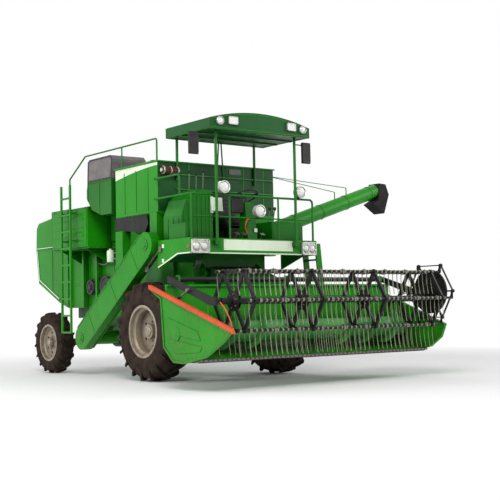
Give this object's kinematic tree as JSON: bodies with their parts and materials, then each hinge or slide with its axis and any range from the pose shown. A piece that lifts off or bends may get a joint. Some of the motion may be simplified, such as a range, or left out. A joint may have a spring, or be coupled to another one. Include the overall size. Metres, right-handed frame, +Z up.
{
  "type": "combine harvester",
  "caption": "Self-propelled combine harvester with open driver's platform, canopy, pick-up reel header and side unloading auger.",
  "frame": {"origin": "on the ground under the middle of the front axle", "axes": "+X to the machine's left, +Y to its rear (it drives towards -Y), +Z up"},
  "size_m": [6.3879, 8.24, 4.0278],
  "materials": {
    "bright_green": "gloss",
    "dark_green": "gloss",
    "pale_green": "gloss",
    "black_paint": "satin",
    "rim_silver": "satin",
    "tyre": "matt",
    "orange_paint": "gloss",
    "grey_metal": "satin",
    "bare_steel": "worn",
    "rust_brown": "matt",
    "lamp": "gloss",
    "rubber_black": "matt",
    "seat_cover": "matt",
    "wheel_plastic": "satin"
  },
  "bodies": {
    "root": {"chassis_frame": "dark_green", "front_axle": "dark_green", "rear_axle": "dark_green", "thresher_body": "bright_green", "straw_hood": "bright_green", "grain_tank": "bright_green", "engine": "grey_metal", "radiator_screen": "grey_metal", "engine_duct": "dark_green", "side_boxes": "bright_green", "elevators": "bright_green", "battery_box": "black_paint", "platform": "bright_green", "console": "bright_green", "seat": "seat_cover", "canopy": "dark_green", "canopy_posts": "dark_green", "hand_rails": "dark_green", "mirrors": "wheel_plastic", "lamps": "lamp", "ladders": "bright_green", "silencer": "rust_brown", "unload_elbow": "bright_green"},
    "steering_wheel": {"steering_wheel": "wheel_plastic"},
    "knuckle_right": {"knuckle_right": "dark_green"},
    "knuckle_left": {"knuckle_left": "dark_green"},
    "tie_rod": {"tie_rod": "bare_steel"},
    "front_wheel_right": {"front_rim_right": "rim_silver", "front_tyre_right": "tyre"},
    "front_wheel_left": {"front_rim_left": "rim_silver", "front_tyre_left": "tyre"},
    "rear_wheel_right": {"rear_rim_right": "rim_silver", "rear_tyre_right": "tyre"},
    "rear_wheel_left": {"rear_rim_left": "rim_silver", "rear_tyre_left": "tyre"},
    "header": {"feeder_house": "dark_green", "header_frame": "bright_green", "header_ends": "bright_green", "divider_bars": "orange_paint", "cutter_bar": "bare_steel"},
    "header_lift_barrels": {"header_lift_barrels": "black_paint"},
    "header_lift_rods": {"header_lift_rods": "bare_steel"},
    "table_auger": {"table_auger": "pale_green"},
    "reel_arms": {"reel_arms": "black_paint"},
    "reel_rotor": {"reel_rotor": "black_paint"},
    "eccentric_ring": {"eccentric_ring": "black_paint"},
    "reel_lift_barrels": {"reel_lift_barrels": "black_paint"},
    "reel_lift_rods": {"reel_lift_rods": "bare_steel"},
    "unloader": {"unload_tube": "bright_green", "unload_spout": "rubber_black"},
    "reel_bat_1": {"reel_bat_1": "black_paint"},
    "reel_bat_2": {"reel_bat_2": "black_paint"},
    "reel_bat_3": {"reel_bat_3": "black_paint"},
    "reel_bat_4": {"reel_bat_4": "black_paint"},
    "reel_bat_5": {"reel_bat_5": "black_paint"},
    "reel_bat_6": {"reel_bat_6": "black_paint"}
  },
  "joints": [
    {"name": "front_wheel_right_spin", "type": "hinge", "parent": "root", "child": "front_wheel_right", "pos_m": [-1.204, 0, 0.765], "axis": [1, 0, 0], "continuous": true},
    {"name": "front_wheel_left_spin", "type": "hinge", "parent": "root", "child": "front_wheel_left", "pos_m": [1.204, 0, 0.765], "axis": [1, 0, 0], "continuous": true},
    {"name": "steer_right", "type": "hinge", "parent": "root", "child": "knuckle_right", "pos_m": [-0.93, 3.49, 0.545], "axis": [0, 0, 1], "range_deg": [-35, 35]},
    {"name": "steer_left", "type": "hinge", "parent": "root", "child": "knuckle_left", "pos_m": [0.93, 3.49, 0.545], "axis": [0, 0, 1], "range_deg": [-35, 35]},
    {"name": "tie_rod_shift", "type": "slide", "parent": "root", "child": "tie_rod", "axis": [1, 0, 0], "range_m": [-0.093, 0.093]},
    {"name": "steering_wheel_turn", "type": "hinge", "parent": "root", "child": "steering_wheel", "pos_m": [0, -0.86, 2.7], "axis": [0, 0.4226, 0.9063], "range_deg": [-540, 540]},
    {"name": "rear_wheel_right_spin", "type": "hinge", "parent": "knuckle_right", "child": "rear_wheel_right", "pos_m": [-1.11, 3.49, 0.545], "axis": [1, 0, 0], "continuous": true},
    {"name": "rear_wheel_left_spin", "type": "hinge", "parent": "knuckle_left", "child": "rear_wheel_left", "pos_m": [1.11, 3.49, 0.545], "axis": [1, 0, 0], "continuous": true},
    {"name": "header_lift", "type": "hinge", "parent": "root", "child": "header", "pos_m": [0, -0.45, 1.65], "axis": [-1, 0, 0], "range_deg": [-9, 20]},
    {"name": "header_barrels_tilt", "type": "hinge", "parent": "root", "child": "header_lift_barrels", "pos_m": [0, -0.2, 0.64], "axis": [-1, 0, 0], "range_deg": [-6.5, 13.5]},
    {"name": "header_rods_slide", "type": "slide", "parent": "header_lift_barrels", "child": "header_lift_rods", "axis": [0, -0.9959, 0.0901], "range_m": [-0.16, 0.345]},
    {"name": "table_auger_spin", "type": "hinge", "parent": "header", "child": "table_auger", "pos_m": [0, -2.05, 0.77], "axis": [1, 0, 0], "continuous": true},
    {"name": "reel_lift", "type": "hinge", "parent": "header", "child": "reel_arms", "pos_m": [0, -1.755, 1.505], "axis": [-1, 0, 0], "range_deg": [0, 25]},
    {"name": "reel_barrels_tilt", "type": "hinge", "parent": "header", "child": "reel_lift_barrels", "pos_m": [0, -1.8, 1.13], "axis": [-1, 0, 0], "range_deg": [0, 20]},
    {"name": "reel_rods_slide", "type": "slide", "parent": "reel_lift_barrels", "child": "reel_lift_rods", "axis": [0, -0.9023, 0.4311], "range_m": [0, 0.16]},
    {"name": "reel_spin", "type": "hinge", "parent": "reel_arms", "child": "reel_rotor", "pos_m": [0, -2.78, 1.187], "axis": [1, 0, 0], "continuous": true},
    {"name": "ring_spin", "type": "hinge", "parent": "reel_arms", "child": "eccentric_ring", "pos_m": [1.98, -2.78, 1.287], "axis": [1, 0, 0], "continuous": true},
    {"name": "unload_swing", "type": "hinge", "parent": "root", "child": "unloader", "pos_m": [1.4, 0.4, 2.25], "axis": [0, 0, 1], "range_deg": [0, 90]},
    {"name": "bat_1_turn", "type": "hinge", "parent": "reel_rotor", "child": "reel_bat_1", "pos_m": [0, -2.33, 1.187], "axis": [1, 0, 0], "continuous": true},
    {"name": "bat_2_turn", "type": "hinge", "parent": "reel_rotor", "child": "reel_bat_2", "pos_m": [0, -2.555, 1.57671], "axis": [1, 0, 0], "continuous": true},
    {"name": "bat_3_turn", "type": "hinge", "parent": "reel_rotor", "child": "reel_bat_3", "pos_m": [0, -3.005, 1.57671], "axis": [1, 0, 0], "continuous": true},
    {"name": "bat_4_turn", "type": "hinge", "parent": "reel_rotor", "child": "reel_bat_4", "pos_m": [0, -3.23, 1.187], "axis": [1, 0, 0], "continuous": true},
    {"name": "bat_5_turn", "type": "hinge", "parent": "reel_rotor", "child": "reel_bat_5", "pos_m": [0, -3.005, 0.79729], "axis": [1, 0, 0], "continuous": true},
    {"name": "bat_6_turn", "type": "hinge", "parent": "reel_rotor", "child": "reel_bat_6", "pos_m": [0, -2.555, 0.79729], "axis": [1, 0, 0], "continuous": true}
  ],
  "couplings": [
    {"joint": "steer_left", "follows": "steer_right", "ratio": 1},
    {"joint": "tie_rod_shift", "follows": "steer_right", "m_per_rad": -0.15},
    {"joint": "steering_wheel_turn", "follows": "steer_right", "ratio": -15},
    {"joint": "header_barrels_tilt", "follows": "header_lift", "ratio": 0.65},
    {"joint": "header_rods_slide", "follows": "header_lift", "m_per_rad": 0.955},
    {"joint": "reel_barrels_tilt", "follows": "reel_lift", "ratio": 0.7},
    {"joint": "reel_rods_slide", "follows": "reel_lift", "m_per_rad": 0.333},
    {"joint": "ring_spin", "follows": "reel_spin", "ratio": 1},
    {"joint": "bat_1_turn", "follows": "reel_spin", "ratio": -1},
    {"joint": "bat_2_turn", "follows": "reel_spin", "ratio": -1},
    {"joint": "bat_3_turn", "follows": "reel_spin", "ratio": -1},
    {"joint": "bat_4_turn", "follows": "reel_spin", "ratio": -1},
    {"joint": "bat_5_turn", "follows": "reel_spin", "ratio": -1},
    {"joint": "bat_6_turn", "follows": "reel_spin", "ratio": -1}
  ]
}
